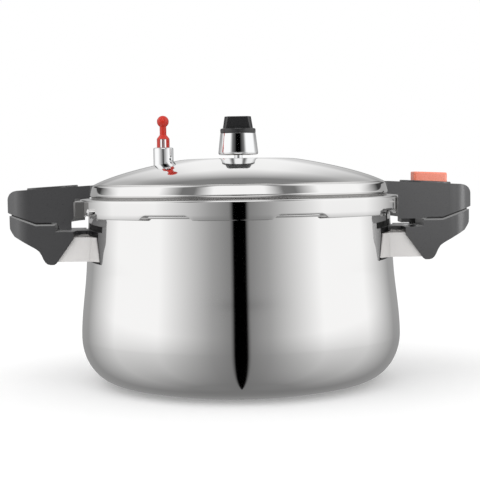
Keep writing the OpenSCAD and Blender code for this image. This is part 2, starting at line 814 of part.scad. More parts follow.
module float_housing() {
    chamfer = 1;
    color(chrome) difference() {
        at_float() union() {
            difference() {
                rotate_extrude()
                    polygon([[0, stem_z], [housing_r, stem_z],
                        [housing_r, housing_top - chamfer], [housing_r - chamfer, housing_top],
                        [0, housing_top]]);
                translate([float_x, 0, 0]) dome_solid(0);
            }
            translate([0, 0, stem_z]) cylinder(r = stem_r, h = bore_z - stem_z - 1);
        }
        at_float() {
            translate([0, 0, bore_z]) cylinder(r = bell_r + run_gap, h = housing_h);
            translate([0, 0, stem_z - 1])
                cylinder(r = float_pin_r + 0.4, h = housing_top - stem_z + 2);
            rotate(-45) translate([0, 0, crown_z + 1.2]) rotate([0, 90, 0])
                cylinder(r = 0.9, h = 2 * housing_r);
        }
    }
}

module float_gasket() {
    color(rubber) intersection() {
        at_float() difference() {
            translate([0, 0, stem_z + 1 + float_nut_h])
                cylinder(r = housing_r - 0.3, h = crown_z - stem_z);
            cylinder(r = stem_r + 0.05, h = crown_z + 10);
        }
        dome_solid(lid_t);
    }
}

module float_nut() {
    color(steel) at_float() translate([0, 0, stem_z + 1]) difference() {
        cylinder(r = housing_r, h = float_nut_h, $fn = 6);
        translate([0, 0, -1]) cylinder(r = stem_r + 0.05, h = float_nut_h + 2);
    }
}

module float_head() {
    neck_rad = 2.7;
    bell_bottom = bore_z + run_gap;
    bell_in = bell_r - 1.5;
    color(red) at_float() difference() {
        union() {
            translate([0, 0, ball_z]) sphere(r = ball_r);
            rotate_extrude()
                polygon([[0, bell_bottom], [bell_r, bell_bottom], [bell_r, bell_top - 0.4],
                    [bell_r - 0.5, bell_top + 0.4], [neck_rad, bell_top + 2.8],
                    [neck_rad, ball_z - 2], [0, ball_z - 2]]);
        }
        translate([0, 0, bell_bottom - 1]) cylinder(r = bell_in, h = bell_top - bell_bottom + 0.4);
        translate([-bell_r / 2, -2 * bell_r, bell_bottom - 1])
            cube([bell_r, 4 * bell_r, bell_top - bell_bottom + 0.4]);
        cylinder(r = float_pin_r, h = float_pin_top);
    }
}

module float_pin() {
    color(steel) at_float() {
        translate([0, 0, seal_top - seal_t - 0.6])
            cylinder(r = float_pin_r, h = float_pin_top - seal_top + seal_t + 0.6);
        translate([0, 0, seal_top - seal_t - 0.8]) cylinder(r = float_pin_r + 1.1, h = 0.8);
    }
}

module float_seal() {
    color(rubber) at_float() translate([0, 0, seal_top - seal_t]) difference() {
        cylinder(r = 3.4, h = seal_t);
        translate([0, 0, -1]) cylinder(r = float_pin_r, h = seal_t + 2);
    }
}

module left_strap() { on_side(-1) strap(); }
module right_strap() { on_side(1) strap(); }
module left_strap_screw() { on_side(-1) strap_screw(); }
module right_strap_screw() { on_side(1) strap_screw(); }
module left_pot_handle() { color(bakelite) on_side(-1) pot_handle(-1); }
module right_pot_handle() { color(bakelite) on_side(1) pot_handle(1); }
module left_lid_bracket() { on_side(-1) lid_bracket(); }
module right_lid_bracket() { on_side(1) lid_bracket(); }
module left_lid_handle() { color(bakelite) on_side(-1) lid_handle(-1); }
module right_lid_handle() { color(bakelite) on_side(1) lid_handle(1); }
module left_handle_screws() { on_side(-1) handle_screws(); }
module right_handle_screws() { on_side(1) handle_screws(); }

pot_body();
base_core();
base_cap();
left_strap();
right_strap();
left_strap_screw();
right_strap_screw();
left_pot_handle();
right_pot_handle();
lock_catch();
lid_shell();
sealing_ring();
stop_stud();
left_lid_bracket();
right_lid_bracket();
left_lid_handle();
right_lid_handle();
left_handle_screws();
right_handle_screws();
left_handle_inlay();
button_bezel();
red_button();
lock_pin();
button_spring();
vent_pipe();
vent_nut();
weight_shell();
weight_core();
weight_stud();
weight_knob();
float_housing();
float_gasket();
float_nut();
float_head();
float_pin();
float_seal();
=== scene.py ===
"""Looks of a stovetop pressure canner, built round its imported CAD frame.

Shapes are worked out in millimetres; add_mesh() turns them into metres.
+X is the red button's side, -Y faces the camera and +Z is up.
"""

import math

import bmesh
import bpy
from mathutils import Matrix, Vector


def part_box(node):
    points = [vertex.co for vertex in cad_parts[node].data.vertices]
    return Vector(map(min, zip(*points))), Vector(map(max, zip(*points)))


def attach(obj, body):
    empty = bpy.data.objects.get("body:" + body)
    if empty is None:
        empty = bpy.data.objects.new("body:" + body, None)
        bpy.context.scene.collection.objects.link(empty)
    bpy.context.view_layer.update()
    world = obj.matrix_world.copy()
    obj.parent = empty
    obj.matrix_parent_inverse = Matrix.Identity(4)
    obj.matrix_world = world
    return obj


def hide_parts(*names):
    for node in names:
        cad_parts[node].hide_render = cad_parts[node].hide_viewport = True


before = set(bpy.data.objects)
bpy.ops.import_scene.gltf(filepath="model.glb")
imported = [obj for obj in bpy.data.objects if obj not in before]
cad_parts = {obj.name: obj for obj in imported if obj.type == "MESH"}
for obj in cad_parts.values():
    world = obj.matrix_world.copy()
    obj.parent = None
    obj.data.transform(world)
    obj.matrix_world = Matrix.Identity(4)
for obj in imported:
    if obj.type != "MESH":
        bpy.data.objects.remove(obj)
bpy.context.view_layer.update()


def mm_box(node):
    """Lowest and highest corner of a CAD node, in millimetres."""
    low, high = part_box(node)
    return low * 1000, high * 1000


# ---- sizes, in millimetres: the CAD source's own, and a few that only the looks need ----
lid_low, lid_high = mm_box("lid_shell")

# Pot: its neck leans in by NECK_LEAN per millimetre of height
POT_TOP = mm_box("pot_body")[1].z
NECK_R = 121.3
BELLY_R = 128.5
BELLY_Z = 37.5
SHOULDER_Z = 93
NECK_LEAN = 0.0575
CORNER_W = 28.5
WALL = 1.2
RIM_FLANGE = 2.7
LUG_T = 1.2
LUG_REACH = 2.6
RIM_UNDER = POT_TOP - LUG_T
FLOOR_Z = 5.75
FLOOR_T = 1.5
FOOT_R = 97
FOOT_STEP = 1.5
# Angle up the rounded corner at FLOOR_Z, where the base's cap meets the pot
SEAM_ANGLE = math.degrees(math.acos((BELLY_Z - FLOOR_Z) / (BELLY_Z - FOOT_STEP)))

# Bayonet: lugs on the rim, tabs on the lid and notches between the tabs
LUG_COUNT = 8
RIM_LUG_ANGLE = 16
LID_TAB_ANGLE = 25
NOTCH_RISE = 3.2
PATTERN_TURN = -2.15

# Lid: crown, bead, groove under the bead, ledge and skirt. The looks draw its top LID_RISE higher
LID_T = 1.2
SKIRT_R = 128.2
SKIRT_BOTTOM = lid_low.z
TAB_IN_R = NECK_R + RIM_FLANGE + 0.4
LEDGE_Z = SKIRT_BOTTOM + 13.1
LEDGE_FALL = 1.2
BEAD_R = 119.6
GROOVE_Z = LEDGE_Z + LEDGE_FALL + 0.4
CREASE_Z = GROOVE_Z + 9.5
DOME_R = BEAD_R - 2.4
CROWN_Z = lid_high.z
CROWN_R = 38
LID_RISE = 0.65

# Handles: the lid's pass over the pot's, round the ring channel and the ramp outside it
HANDLE_REACH = 184
HANDLE_HALF = 40
HANDLE_END_HALF = 37
HANDLE_CORNER = 20
HANDLE_UNDER = SKIRT_BOTTOM - 3
HANDLE_GAP = 2.6
HANDLE_IN = BEAD_R + 0.4
HANDLE_SLOPE = 0.056
POT_HANDLE_TOP = HANDLE_UNDER - HANDLE_GAP
CHANNEL_Z = POT_HANDLE_TOP - 4.9
CHANNEL_R = 148.2
RAMP_R = CHANNEL_R + 15
STRAP_TOP = CHANNEL_Z - 4.5
STRAP_Z = STRAP_TOP - 19
STRAP_REACH = 147.8
STRAP_HALF = 36
BRACKET_T = 1.2
SCREW_X = 143
SCREW_Y = 18
PIN_X = 140.5
CATCH_HALF = (7.05, 9.05)

# Pads on the lid handles, and the button in one of them
PAD_X = (131, 171)
PAD_HALF = 17
PAD_H = 1.4
BUTTON_X = (140.5, 167.5)
BUTTON_HALF = 9
BUTTON_GAP = 0.3

# Well below and well above the handles, where their cutters end
CUT_LOW = 60
CUT_HIGH = CREASE_Z + 20


# ---- mesh tools ----
def add_mesh(name, points, faces):
    """An object from points in millimetres, with its normals made to face outward."""
    mesh = bpy.data.meshes.new(name)
    mesh.from_pydata([Vector(p) / 1000 for p in points], [], faces)
    obj = bpy.data.objects.new(name, mesh)
    bpy.context.scene.collection.objects.link(obj)
    bm = bmesh.new()
    bm.from_mesh(mesh)
    bmesh.ops.remove_doubles(bm, verts=bm.verts, dist=1e-6)
    bmesh.ops.recalc_face_normals(bm, faces=bm.faces)
    bm.to_mesh(mesh)
    bm.free()
    return obj


def bake(obj):
    """Apply all modifiers of an object."""
    graph = bpy.context.evaluated_depsgraph_get()
    mesh = bpy.data.meshes.new_from_object(obj.evaluated_get(graph))
    obj.modifiers.clear()
    old, obj.data = obj.data, mesh
    bpy.data.meshes.remove(old)
    mesh.name = obj.name
    return obj


def smooth(obj, angle=35, flat_faces=True):
    """Smooth shading, sharp at edges over angle. flat_faces keeps large faces flat beside rounded edges."""
    obj.data.shade_smooth()
    obj.data.set_sharp_from_angle(angle=math.radians(angle))
    if flat_faces:
        step = obj.modifiers.new("weighted", "WEIGHTED_NORMAL")
        step.keep_sharp = True
        bake(obj)
    return obj


def boolean(obj, operation, *tools):
    """Cut tools from obj, join them to it, or keep what they share. The tools are used up."""
    for tool in tools:
        step = obj.modifiers.new(operation, "BOOLEAN")
        step.operation = operation
        step.solver = "EXACT"
        step.object = tool
        bake(obj)
        bpy.data.objects.remove(tool)
    return obj


def bevel(obj, width, segments=3, angle=32, where=None):
    """Round edges sharper than angle. where(p, q) picks edges by their ends, in millimetres."""
    step = obj.modifiers.new("bevel", "BEVEL")
    step.width = width / 1000
    step.segments = segments
    step.angle_limit = math.radians(angle)
    if where:
        bm = bmesh.new()
        bm.from_mesh(obj.data)
        layer = bm.edges.layers.float.new("bevel_weight_edge")
        for edge in bm.edges:
            sharp = len(edge.link_faces) == 2 and edge.calc_face_angle(0) > step.angle_limit
            ends = [v.co * 1000 for v in edge.verts]
            edge[layer] = 1.0 if sharp and where(*ends) else 0.0
        bm.to_mesh(obj.data)
        bm.free()
        step.limit_method = "WEIGHT"
    return bake(obj)


def prism(name, first, second):
    """A solid between two outlines, whose points match one by one."""
    n = len(first)
    faces = [tuple(range(n)), tuple(range(n, 2 * n))]
    faces += [(i, (i + 1) % n, n + (i + 1) % n, n + i) for i in range(n)]
    return add_mesh(name, first + second, faces)


def prism_z(name, outline, low, high):
    """A closed outline in x and y, extruded between two heights."""
    return prism(name, [(x, y, low) for x, y in outline], [(x, y, high) for x, y in outline])


def prism_y(name, outline):
    """A closed outline in x and z, extruded along y, wider than any handle."""
    half = 60
    return prism(name, [(x, -half, z) for x, z in outline], [(x, half, z) for x, z in outline])


def block(x0, x1, y0, y1, z0, z1):
    """A box between two corners."""
    return prism_z("block", [(x0, y0), (x1, y0), (x1, y1), (x0, y1)], z0, z1)


def lathe(name, profile, segments=256, centre=(0, 0), start=0, sweep=360, lift=None):
    """A profile of (radius, height) turned round a vertical axis. lift(angle, index) raises a point.

    The profile is closed where it doesn't start and end on the axis.
    """
    whole = sweep == 360
    closed = profile[0][0] > 1e-6 or profile[-1][0] > 1e-6
    rings = segments if whole else segments + 1
    count = len(profile)
    points = []
    for i in range(rings):
        angle = math.radians(start + sweep * i / segments)
        for j, (r, z) in enumerate(profile):
            up = lift(math.degrees(angle), j) if lift else 0
            points.append((centre[0] + r * math.cos(angle), centre[1] + r * math.sin(angle), z + up))
    faces = []
    for i in range(segments):
        a, b = i * count, (i + 1) % rings * count
        for j in range(count if closed else count - 1):
            k = (j + 1) % count
            quad = [a + j, b + j, b + k, a + k]
            if profile[j][0] < 1e-6:
                quad = [a + j, b + k, a + k]
            elif profile[k][0] < 1e-6:
                quad = [a + j, b + j, a + k]
            faces.append(quad)
    if not whole:
        faces += [tuple(range(count)), tuple(range((rings - 1) * count, rings * count))]
    return add_mesh(name, points, faces)


def join(name, *objects):
    """One object from several, with each one's faces."""
    bm = bmesh.new()
    for obj in objects:
        bm.from_mesh(obj.data)
    mesh = bpy.data.meshes.new(name)
    bm.to_mesh(mesh)
    bm.free()
    for obj in objects:
        bpy.data.objects.remove(obj)
    joined = bpy.data.objects.new(name, mesh)
    bpy.context.scene.collection.objects.link(joined)
    return joined


def mirror_x(obj):
    """Turn a piece drawn on +X into its mirror image on -X."""
    bm = bmesh.new()
    bm.from_mesh(obj.data)
    bmesh.ops.scale(bm, vec=(-1, 1, 1), verts=bm.verts)
    bmesh.ops.reverse_faces(bm, faces=bm.faces)
    bm.to_mesh(obj.data)
    bm.free()
    return obj


def arc(cx, cz, r, a0, a1, steps):
    """Points on a circle, from angle a0 to a1 in degrees."""
    return [(cx + r * math.cos(math.radians(a0 + (a1 - a0) * i / steps)),
             cz + r * math.sin(math.radians(a0 + (a1 - a0) * i / steps))) for i in range(steps + 1)]


def round_corners(outline, radii, steps=4):
    """The outline with its corners rounded: radii[i] is the radius at point i, 0 to keep it."""
    out = []
    n = len(outline)
    for i, r in enumerate(radii):
        p = Vector(outline[i])
        if not r:
            out.append(tuple(p))
            continue
        a = Vector(outline[i - 1]) - p
        b = Vector(outline[(i + 1) % n]) - p
        half = a.angle(b) / 2
        reach = min(r / math.tan(half), 0.48 * a.length, 0.48 * b.length)
        start, end = p + a.normalized() * reach, p + b.normalized() * reach
        for k in range(steps + 1):
            t = k / steps
            out.append(tuple(start * (1 - t) ** 2 + p * 2 * t * (1 - t) + end * t ** 2))
    return out


# ---- material tools ----
class Nodes:
    """Short names for building a node tree."""

    def __init__(self, tree):
        self.tree = tree

    def add(self, kind, **settings):
        node = self.tree.nodes.new(kind)
        for key, value in settings.items():
            setattr(node, key, value)
        return node

    def link(self, source, target):
        self.tree.links.new(source, target)

    def math(self, operation, a, b=None, clamp=False):
        """One operation on sockets or numbers."""
        node = self.add("ShaderNodeMath", operation=operation, use_clamp=clamp)
        for socket, value in zip(node.inputs, (a, b)):
            if value is None:
                continue
            if isinstance(value, (int, float)):
                socket.default_value = value
            else:
                self.link(value, socket)
        return node.outputs[0]

    def span(self, value, low, high, to_low=0.0, to_high=1.0, smooth_step=True):
        """Map value from low..high to to_low..to_high."""
        node = self.add("ShaderNodeMapRange", clamp=True)
        node.interpolation_type = "SMOOTHSTEP" if smooth_step else "LINEAR"
        self.link(value, node.inputs["Value"])
        for name, number in zip(("From Min", "From Max", "To Min", "To Max"), (low, high, to_low, to_high)):
            node.inputs[name].default_value = number
        return node.outputs["Result"]

    def mix(self, factor, a, b):
        """Mix two colours or numbers given as greys."""
        node = self.add("ShaderNodeMix", data_type="RGBA")
        for socket, value in ((node.inputs[0], factor), (node.inputs[6], a), (node.inputs[7], b)):
            if isinstance(value, (int, float)):
                socket.default_value = value if socket.type == "VALUE" else (value, value, value, 1)
            elif isinstance(value, tuple):
                socket.default_value = (*value, 1)
            else:
                self.link(value, socket)
        return node.outputs[2]

    def ramp(self, factor, stops):
        """A grey ramp from (position, grey) stops."""
        node = self.add("ShaderNodeValToRGB")
        elements = node.color_ramp.elements
        while len(elements) < len(stops):
            elements.new(0.5)
        for element, (position, grey) in zip(elements, sorted(stops)):
            element.position = position
            element.color = (grey, grey, grey, 1)
        self.link(factor, node.inputs[0])
        return node.outputs[0]

    def turn_share(self, x, y):
        """Direction round the object as 0..1, with 0.5 toward the camera's side and more toward +X."""
        angle = self.math("ARCTAN2", x, self.math("MULTIPLY", y, -1.0))
        return self.math("ADD", self.math("DIVIDE", angle, 2 * math.pi), 0.5)

    def noise(self, scale, detail=4, roughness=0.5, stretch=(1, 1, 1)):
        """Noise fixed to the object, whose mesh is in metres. stretch above 1 makes it finer that way."""
        place = self.add("ShaderNodeTexCoord")
        mapping = self.add("ShaderNodeMapping")
        mapping.inputs["Scale"].default_value = stretch
        self.link(place.outputs["Object"], mapping.inputs["Vector"])
        node = self.add("ShaderNodeTexNoise")
        node.inputs["Scale"].default_value = scale
        node.inputs["Detail"].default_value = detail
        node.inputs["Roughness"].default_value = roughness
        self.link(mapping.outputs["Vector"], node.inputs["Vector"])
        return node.outputs["Fac"]

    def bump(self, height, strength, distance):
        """Bump from a height that runs over distance, in millimetres."""
        node = self.add("ShaderNodeBump")
        node.inputs["Strength"].default_value = strength
        node.inputs["Distance"].default_value = distance / 1000
        self.link(height, node.inputs["Height"])
        return node.outputs["Normal"]


def new_material(name, **sockets):
    """A Principled material. sockets are its plain numbers and colours, by socket name with _ for spaces."""
    material = bpy.data.materials.new(name)
    material.use_nodes = True
    nodes = Nodes(material.node_tree)
    shader = material.node_tree.nodes["Principled BSDF"]
    for key, value in sockets.items():
        socket = shader.inputs[key.replace("_", " ")]
        socket.default_value = (*value, 1) if isinstance(value, tuple) else value
    return material, nodes, shader


def steel(name, tint, rough, wander, grain, grain_scale, stretch=(1, 1, 1), metal=1.0):
    """Steel: tint, a roughness that wanders a little, and a fine grain in the bump."""
    material, nodes, shader = new_material(name, Base_Color=tint, Metallic=metal)
    cloud = nodes.noise(9, detail=3)
    fine = nodes.noise(grain_scale, detail=5, roughness=0.6, stretch=stretch)
    nodes.link(nodes.span(cloud, 0.3, 0.7, rough, rough + wander), shader.inputs["Roughness"])
    tone = nodes.span(cloud, 0.35, 0.65, 0.0, 1.0)
    nodes.link(nodes.mix(tone, tuple(c * 0.985 for c in tint), tint), shader.inputs["Base Color"])
    nodes.link(nodes.bump(fine, grain, 0.05), shader.inputs["Normal"])
    return material


def plastic(name, colour, rough, pits, pit_scale, **more):
    """Moulded plastic: slight colour drift, a roughness that varies and a fine pitted skin."""
    material, nodes, shader = new_material(name, Base_Color=colour, **more)
    cloud = nodes.noise(30, detail=4)
    skin = nodes.noise(pit_scale, detail=3, roughness=0.6)
    nodes.link(nodes.mix(cloud, tuple(c * 0.9 for c in colour), tuple(min(1, c * 1.1) for c in colour)),
               shader.inputs["Base Color"])
    nodes.link(nodes.span(skin, 0.3, 0.7, rough - 0.03, rough + 0.05), shader.inputs["Roughness"])
    nodes.link(nodes.bump(skin, pits, 0.05), shader.inputs["Normal"])
    return material


MIRROR = steel("mirror_steel", (0.83, 0.825, 0.82), 0.035, 0.02, 0.02, 900)
# Dark steel, painted shade: for the crevice under the lid's bead and the space between the lid and its
# handles
SHADE_STEEL = steel("painted_shade_steel", (0.34, 0.335, 0.33), 0.26, 0.08, 0.06, 1400)
SATIN = steel("satin_steel", (0.80, 0.79, 0.78), 0.16, 0.06, 0.06, 500, (1, 1, 12))
STRAP = steel("strap_steel", (0.92, 0.90, 0.885), 0.34, 0.08, 0.06, 500, (1, 1, 12), metal=0.15)
PLAIN = steel("plain_steel", (0.70, 0.70, 0.70), 0.20, 0.10, 0.10, 800)
CHROME = steel("chrome", (0.88, 0.885, 0.89), 0.03, 0.015, 0.01, 1200)
ALUMINIUM = steel("base_aluminium", (0.75, 0.75, 0.76), 0.35, 0.10, 0.2, 600)
BRASS = steel("weight_brass", (0.72, 0.53, 0.25), 0.28, 0.10, 0.12, 700)
BAKELITE = plastic("black_bakelite", (0.034, 0.034, 0.036), 0.30, 0.02, 1600,
                   IOR=1.6, Specular_IOR_Level=0.8)
KNOB = plastic("knob_bakelite", (0.022, 0.022, 0.023), 0.22, 0.02, 1800, IOR=1.6)
RED = plastic("red_button_plastic", (0.98, 0.215, 0.115), 0.28, 0.015, 1500,
              IOR=1.6, Specular_IOR_Level=1.0)
RED_FLOAT = plastic("red_float_plastic", (0.62, 0.030, 0.016), 0.12, 0.01, 1500)
SILICONE = plastic("grey_silicone", (0.28, 0.285, 0.29), 0.48, 0.12, 700, Sheen_Weight=0.15)
DARK_PIN = plastic("pin_plastic", (0.05, 0.05, 0.05), 0.35, 0.05, 900)


def dress(obj, body, slot, material, *replaced):
    """Finish a piece: its material, body, and the CAD nodes that it stands for. The slot argument is not
    used.
    """
    obj.data.materials.clear()
    obj.data.materials.append(material)
    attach(obj, body)
    if replaced:
        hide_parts(*replaced)
    return obj


def finish_node(name, material):
    """Give a CAD node that stays its material."""
    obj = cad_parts[name]
    obj.data.materials.clear()
    obj.data.materials.append(material)


# ---- pot ----
def wall_radius(z):
    """Radius of the pot's outer wall."""
    shoulder_r = NECK_R + NECK_LEAN * (RIM_UNDER - SHOULDER_Z)
    if z >= SHOULDER_Z:
        return NECK_R + NECK_LEAN * (RIM_UNDER - z)
    span = SHOULDER_Z - BELLY_Z
    s = (z - BELLY_Z) / span
    return BELLY_R + (shoulder_r - BELLY_R) * (3 * s * s - 2 * s ** 3) - NECK_LEAN * span * (s ** 3 - s * s)


def corner(thickness, rise, a0, a1, steps):
    """The elliptical corner between wall and base, from angle a0 to a1."""
    out = []
    for i in range(steps + 1):
        a = math.radians(a0 + (a1 - a0) * i / steps)
        out.append((BELLY_R - CORNER_W + (CORNER_W - thickness) * math.sin(a),
                    BELLY_Z - (BELLY_Z - rise) * math.cos(a)))
    return out


def side_wall(thickness, steps=40):
    """The wall from the belly up its curve and its straight neck, nearly to the rim."""
    curve = [BELLY_Z + (SHOULDER_Z - BELLY_Z) * i / steps for i in range(1, steps + 1)]
    neck = [SHOULDER_Z + (RIM_UNDER - 1.2 - SHOULDER_Z) * i / 10 for i in range(1, 11)]
    return [(wall_radius(z) - thickness, z) for z in curve + neck]


def ring_lugs(count, sweep, turn, profile):
    """Short ring pieces, spaced evenly round the axis."""
    return [lathe("lug", profile, segments=24, start=turn + i * 360 / count - sweep / 2, sweep=sweep)
            for i in range(count)]


def make_pot():
    """Pot wall, rolled rim, floor and the lugs round the rim."""
    roll, edge = 0.9, 0.3
    rim_r = NECK_R + RIM_FLANGE
    outer = corner(0, FOOT_STEP, SEAM_ANGLE, 90, 28) + side_wall(0)
    rim = [(wall_radius(RIM_UNDER - roll), RIM_UNDER - roll)]
    rim += arc(NECK_R + roll, RIM_UNDER - roll, roll, 180, 90, 5)
    rim += [(rim_r - edge, RIM_UNDER), (rim_r, RIM_UNDER + edge),
            (rim_r, POT_TOP - edge), (rim_r - edge, POT_TOP)]
    rim += arc(NECK_R - WALL + roll, POT_TOP - roll, roll, 90, 180, 5)
    inner = side_wall(WALL)[::-1] + corner(WALL, FLOOR_Z + FLOOR_T, 90, 0, 20)
    shell = lathe("pot", [(0, FLOOR_Z)] + outer + rim + inner + [(0, FLOOR_Z + FLOOR_T)], segments=320)
    lug = [(rim_r - 0.5, RIM_UNDER), (rim_r + LUG_REACH, RIM_UNDER), (rim_r + LUG_REACH, POT_TOP),
           (rim_r - 0.5, POT_TOP)]
    pot = join("pot", shell, *ring_lugs(LUG_COUNT, RIM_LUG_ANGLE, PATTERN_TURN, lug))
    return dress(smooth(pot, flat_faces=False), "pot", "mirror_steel", MIRROR, "pot_body")


def make_base():
    """Steel cap over the heat spreader, with the step of its foot."""
    cap_r, cap_t = FOOT_R + 0.7, 0.8
    foot = [(0, 0), (FOOT_R - 0.3, 0), (FOOT_R, 0.1), (FOOT_R + 0.9, 0.45), (FOOT_R + 1.2, 0.9),
            (FOOT_R + 1.2, FOOT_STEP - 0.2), (FOOT_R + 1.4, FOOT_STEP)]
    profile = foot + corner(0, FOOT_STEP, 1.5, SEAM_ANGLE, 18)
    profile += [(cap_r, FLOOR_Z), (cap_r, cap_t), (0, cap_t)]
    base = lathe("base", profile, segments=320)
    return dress(smooth(base, 28, flat_faces=False), "pot", "mirror_steel", MIRROR, "base_cap")


# ---- lid ----
def dome_height(r):
    """Height of the lid's dome: a flat crown, then a slope that grows outward, with a slight bulge."""
    bend_r = CROWN_R + 12
    slope_in, slope_out = 0.18, 0.34
    top = CROWN_Z + LID_RISE
    if r <= CROWN_R:
        return top
    t = (r - CROWN_R) / (DOME_R - CROWN_R)
    bulge = 0.9 * (t - t ** 9) - 0.95 * t ** 6
    if r <= bend_r:
        return top - slope_in * (r - CROWN_R) ** 2 / (2 * (bend_r - CROWN_R)) + bulge
    return (top - slope_in * (bend_r - CROWN_R) / 2 - slope_in * (r - bend_r)
            - (slope_out - slope_in) * (r - bend_r) ** 2 / (2 * (DOME_R - bend_r)) + bulge)


def notch_lift(angle):
    """How far the skirt's lower edge rises at an angle, in the notches between the tabs."""
    pitch = 360 / LUG_COUNT
    blend, dip = 7, 0.4
    off = (angle - PATTERN_TURN) % pitch - pitch / 2
    across = abs(SKIRT_R * math.sin(math.radians(off)))
    half = SKIRT_R * math.sin(math.radians((pitch - LID_TAB_ANGLE) / 2)) + 1
    t = min(max((half - across) / blend, 0), 1)
    return max((NOTCH_RISE + dip) * (0.5 - 0.5 * math.cos(math.pi * t)) - dip, 0)


def make_lid():
    """The lid in one turned profile, with notches in its lower edge and tabs inside it."""
    dome = [(DOME_R * i / 60, dome_height(DOME_R * i / 60)) for i in range(61)]
    crease_z, groove_z = CREASE_Z + LID_RISE, GROOVE_Z + LID_RISE
    ledge_z, round_r = LEDGE_Z + 1.1, 1.45
    tab_low, tab_high, tab_r = SKIRT_BOTTOM + 0.2, SKIRT_BOTTOM + 1.4, SKIRT_R - 0.6
    crease = [(BEAD_R - 2.65, crease_z + 0.25), (BEAD_R - 2.8, crease_z)]
    # The bead leans up from its nose, which is low down, and turns in under it
    nose_z = crease_z - 7.4
    face_h, face_lean, under_h, under_lean = 6.2, 1.5, 2.1, 0.9
    bead = [(BEAD_R - 2.45, crease_z - 0.05), (BEAD_R - 2.1, crease_z - 0.3),
            (BEAD_R - 1.75, crease_z - 0.75)]
    bead += [(BEAD_R - face_lean * (1 - i / 14) ** 1.2, nose_z + face_h * (1 - i / 14)) for i in range(15)]
    bead += [(BEAD_R - under_lean * (i / 6) ** 1.5, nose_z - under_h * i / 6) for i in range(1, 7)]
    ledge = [(BEAD_R - 0.9, groove_z - 0.3), (SKIRT_R - round_r - 0.4, ledge_z + 0.05)]
    ledge += arc(SKIRT_R - round_r, ledge_z - round_r, round_r, 90, 0, 10)
    side = [(SKIRT_R, ledge_z - round_r - 0.5), (SKIRT_R, LEDGE_Z - 4), (SKIRT_R, SKIRT_BOTTOM + 4.4),
            (SKIRT_R, SKIRT_BOTTOM + 3.8)]
    hem = arc(SKIRT_R - LID_T / 2, SKIRT_BOTTOM + LID_T / 2, LID_T / 2, 0, -180, 8)
    inside = [(SKIRT_R - LID_T, SKIRT_BOTTOM + 3.8), (SKIRT_R - LID_T, ledge_z - 2.2),
              (SKIRT_R - LID_T - 0.6, ledge_z - LID_T - 0.2), (BEAD_R - 1.4, groove_z - LID_T - 0.6),
              (BEAD_R - LID_T - 0.9, groove_z - 0.6), (BEAD_R - LID_T, groove_z + 1.5),
              (BEAD_R - LID_T - 1.6, crease_z - 1.8), (BEAD_R - LID_T - 2.6, crease_z - 0.6)]
    inner_dome = [(r, z - LID_T) for r, z in dome[::-1]]
    outside = dome + crease + bead + ledge + side
    profile = outside + hem + inside + inner_dome
    first, last = len(outside), len(outside) + len(hem) - 1

    def lift(angle, index):
        return notch_lift(angle) if first <= index <= last else 0

    shell = lathe("lid", profile, segments=720, lift=lift)
    tab = [(TAB_IN_R, tab_low), (tab_r, tab_low), (tab_r, tab_high), (TAB_IN_R, tab_high)]
    lid = join("lid", shell, *ring_lugs(LUG_COUNT, LID_TAB_ANGLE, PATTERN_TURN, tab))
    dress(smooth(lid, 50, flat_faces=False), "lid", "mirror_steel", MIRROR, "lid_shell")
    # The groove under the bead is painted dark steel, as painted shade in its crevice
    lid.data.materials.append(SHADE_STEEL)
    for face in lid.data.polygons:
        x, y, z = face.center * 1000
        in_groove_shade = BEAD_R - 2 < math.hypot(x, y) < BEAD_R and groove_z - 0.5 < z < crease_z - 8.6
        if in_groove_shade and face.normal.x * x + face.normal.y * y > -1:
            face.material_index = 1
    return lid


# ---- handles: drawn on +X, mirrored for -X ----
def handle_top(x):
    """Height of the lid handle's sloping top."""
    return CREASE_Z + 1 - HANDLE_SLOPE * (x - HANDLE_IN)


def handle_plan(x0, inset):
    """Outline of a handle from above, from x0 out to its bowed end."""
    r, bow_out, bow_in = HANDLE_CORNER, 1.6, 0.7
    x1 = HANDLE_REACH - inset
    w0, w1 = HANDLE_HALF - inset, HANDLE_END_HALF - inset
    corner_arc = arc(x1 - r, w1 - r, r, 90, 0, 12)
    bow = [(x1 + bow_out * (1 - (i / 4) ** 2) - bow_in, -i * (w1 - r) / 4) for i in range(-3, 4)]
    return [(x0, -w0), (x0, w0)] + corner_arc + bow + [(x, -y) for x, y in corner_arc[::-1]]


def pad_outline():
    """Rounded outline of the pad on a lid handle."""
    r, h = PAD_HALF - 3, PAD_HALF
    x0, x1 = PAD_X
    return (arc(x1 - r, h - r, r, 90, 0, 8) + arc(x1 - r, r - h, r, 0, -90, 8)
            + arc(x0 + r, r - h, r, -90, -180, 8) + arc(x0 + r, h - r, r, 180, 90, 8))


